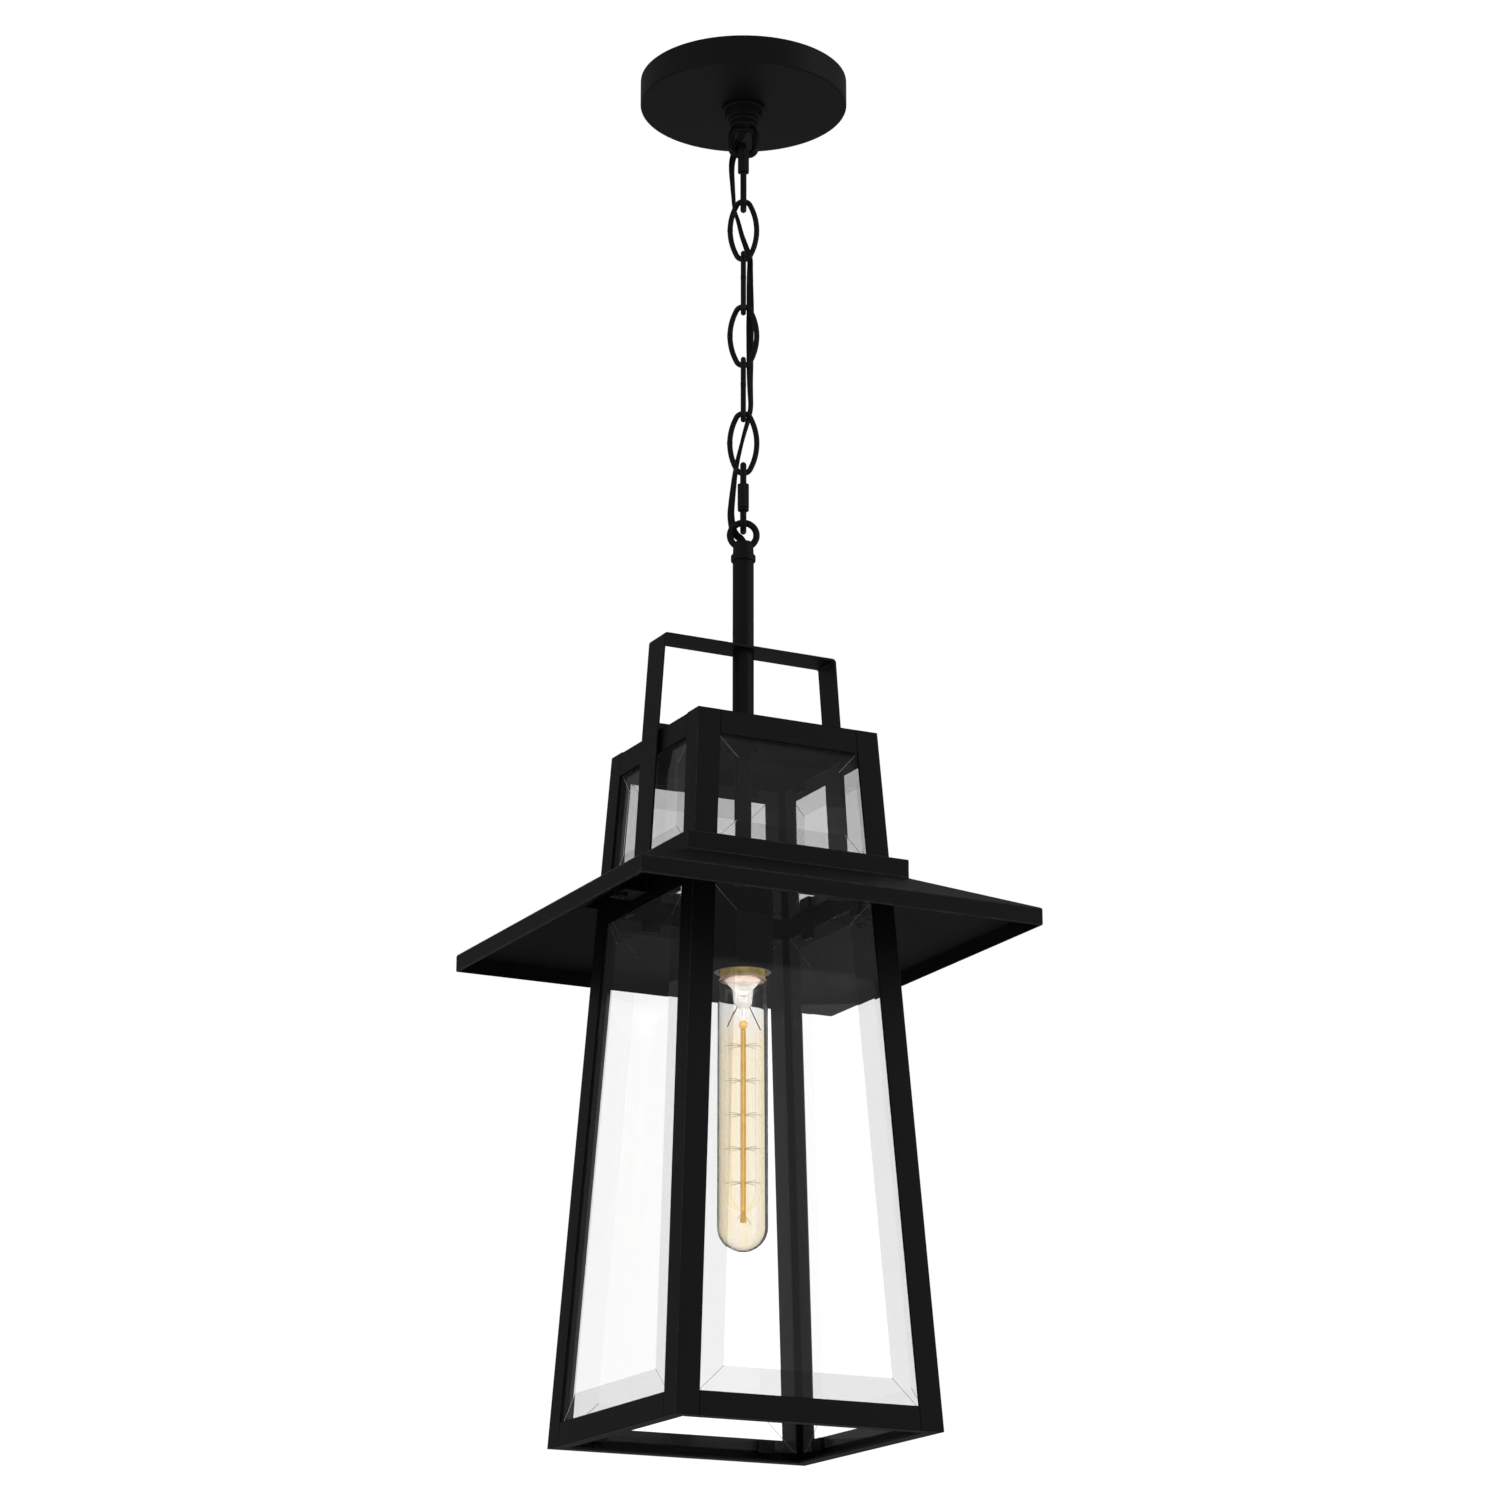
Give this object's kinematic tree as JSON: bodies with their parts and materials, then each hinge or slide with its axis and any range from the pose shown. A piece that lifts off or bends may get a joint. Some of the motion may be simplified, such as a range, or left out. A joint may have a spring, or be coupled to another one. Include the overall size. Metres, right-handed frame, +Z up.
{
  "type": "hanging lantern",
  "caption": "Square tapered lantern with a wide roof skirt, clear panes and a tubular bulb, hung by a strap-handled stem and short chain from a round canopy.",
  "frame": {"origin": "centre of the ceiling plane, midway between the box screws, at the crossbar's top face", "axes": "+Z up into the ceiling; the cage's faces are square to X and Y, the handle's legs on its X faces; the box screws lie along X"},
  "size_m": [0.2528, 0.2528, 0.8354],
  "materials": {
    "black_coat": "satin black powder coat",
    "black_screw": "blackened steel",
    "zinc_steel": "zinc plated",
    "green_screw": "green plated",
    "clear_glass": "clear, bevelled edges",
    "amber_glass": "clear amber",
    "brass": "bright",
    "porcelain": "glazed",
    "filament": "thin wire",
    "lead_insulation": "matt",
    "cord_jacket": "matt black"
  },
  "bodies": {
    "ceiling": {"crossbar": "zinc_steel", "nipple": "zinc_steel", "nipple_nuts": "zinc_steel", "ground_screw": "green_screw", "canopy_loop": "black_coat"},
    "canopy": {"canopy": "black_coat", "collar_ring": "black_coat"},
    "top_quick_link": {"quick_link_top": "black_coat", "supply_cord_1": "cord_jacket"},
    "top_sleeve": {"quick_link_top_sleeve": "black_coat"},
    "link_1": {"link_1": "black_coat", "supply_cord_2": "cord_jacket"},
    "link_2": {"link_2": "black_coat", "supply_cord_3": "cord_jacket"},
    "link_3": {"link_3": "black_coat", "supply_cord_4": "cord_jacket"},
    "link_4": {"link_4": "black_coat", "supply_cord_5": "cord_jacket"},
    "link_5": {"link_5": "black_coat", "supply_cord_6": "cord_jacket"},
    "bottom_quick_link": {"quick_link_bottom": "black_coat", "supply_cord_7": "cord_jacket"},
    "bottom_sleeve": {"quick_link_bottom_sleeve": "black_coat"},
    "lantern": {"stem_loop": "black_coat", "stem_shoulder": "black_coat", "stem_tube": "black_coat", "handle_strap": "black_coat", "handle_cross_strap": "black_coat", "foot_screws": "black_screw", "roof_bosses": "black_screw", "leg_rivets": "black_screw", "top_plate": "black_coat", "corner_posts": "black_coat", "top_rails": "black_coat", "mid_rails": "black_coat", "bottom_rails": "black_coat", "roof": "black_coat", "upper_pane_1": "clear_glass", "upper_pane_2": "clear_glass", "upper_pane_3": "clear_glass", "upper_pane_4": "clear_glass", "lower_pane_1": "clear_glass", "lower_pane_2": "clear_glass", "lower_pane_3": "clear_glass", "lower_pane_4": "clear_glass", "glass_clips": "black_screw", "clip_screws": "black_screw", "inner_pipe": "black_coat", "pipe_nuts": "black_coat", "socket_cup": "black_coat", "socket_insulator": "porcelain", "socket_shell": "brass", "socket_contact": "brass", "lamp_leads": "lead_insulation", "supply_cord_8": "cord_jacket"},
    "bulb": {"bulb_base": "brass", "bulb_glass": "amber_glass", "bulb_mount": "amber_glass", "bulb_filament": "filament"}
  },
  "joints": [
    {"name": "top_quick_link_swing", "type": "hinge", "parent": "ceiling", "child": "top_quick_link", "pos_m": [0, 0, -0.0492], "axis": [0.891, -0.454, 0], "range_deg": [-15, 15], "deforming": ["supply_cord_1"]},
    {"name": "link_1_swing", "type": "hinge", "parent": "top_quick_link", "child": "link_1", "pos_m": [0, 0, -0.0845], "axis": [0.454, 0.891, 0], "range_deg": [-15, 15], "deforming": ["supply_cord_2"]},
    {"name": "link_2_swing", "type": "hinge", "parent": "link_1", "child": "link_2", "pos_m": [0, 0, -0.11905], "axis": [0.891, -0.454, 0], "range_deg": [-15, 15], "deforming": ["supply_cord_3"]},
    {"name": "link_3_swing", "type": "hinge", "parent": "link_2", "child": "link_3", "pos_m": [0, 0, -0.15385], "axis": [0.454, 0.891, 0], "range_deg": [-15, 15], "deforming": ["supply_cord_4"]},
    {"name": "link_4_swing", "type": "hinge", "parent": "link_3", "child": "link_4", "pos_m": [0, 0, -0.18865], "axis": [0.891, -0.454, 0], "range_deg": [-15, 15], "deforming": ["supply_cord_5"]},
    {"name": "link_5_swing", "type": "hinge", "parent": "link_4", "child": "link_5", "pos_m": [0, 0, -0.22345], "axis": [0.454, 0.891, 0], "range_deg": [-15, 15], "deforming": ["supply_cord_6"]},
    {"name": "bottom_quick_link_swing", "type": "hinge", "parent": "link_5", "child": "bottom_quick_link", "pos_m": [0, 0, -0.25825], "axis": [0.891, -0.454, 0], "range_deg": [-15, 15], "deforming": ["supply_cord_7"]},
    {"name": "lantern_swing", "type": "hinge", "parent": "bottom_quick_link", "child": "lantern", "pos_m": [0, 0, -0.2941], "axis": [0.454, 0.891, 0], "range_deg": [-15, 15], "deforming": ["supply_cord_8"]},
    {"name": "canopy_drop", "type": "slide", "parent": "ceiling", "child": "canopy", "axis": [0, 0, -1], "range_m": [0, 0.004]},
    {"name": "top_sleeve_slide", "type": "slide", "parent": "top_quick_link", "child": "top_sleeve", "axis": [0, 0, -1], "range_m": [0, 0.0135]},
    {"name": "bottom_sleeve_slide", "type": "slide", "parent": "bottom_quick_link", "child": "bottom_sleeve", "axis": [0, 0, 1], "range_m": [0, 0.008]},
    {"name": "bulb_out", "type": "slide", "parent": "lantern", "child": "bulb", "axis": [0, 0, -1], "range_m": [0, 0.03]}
  ]
}
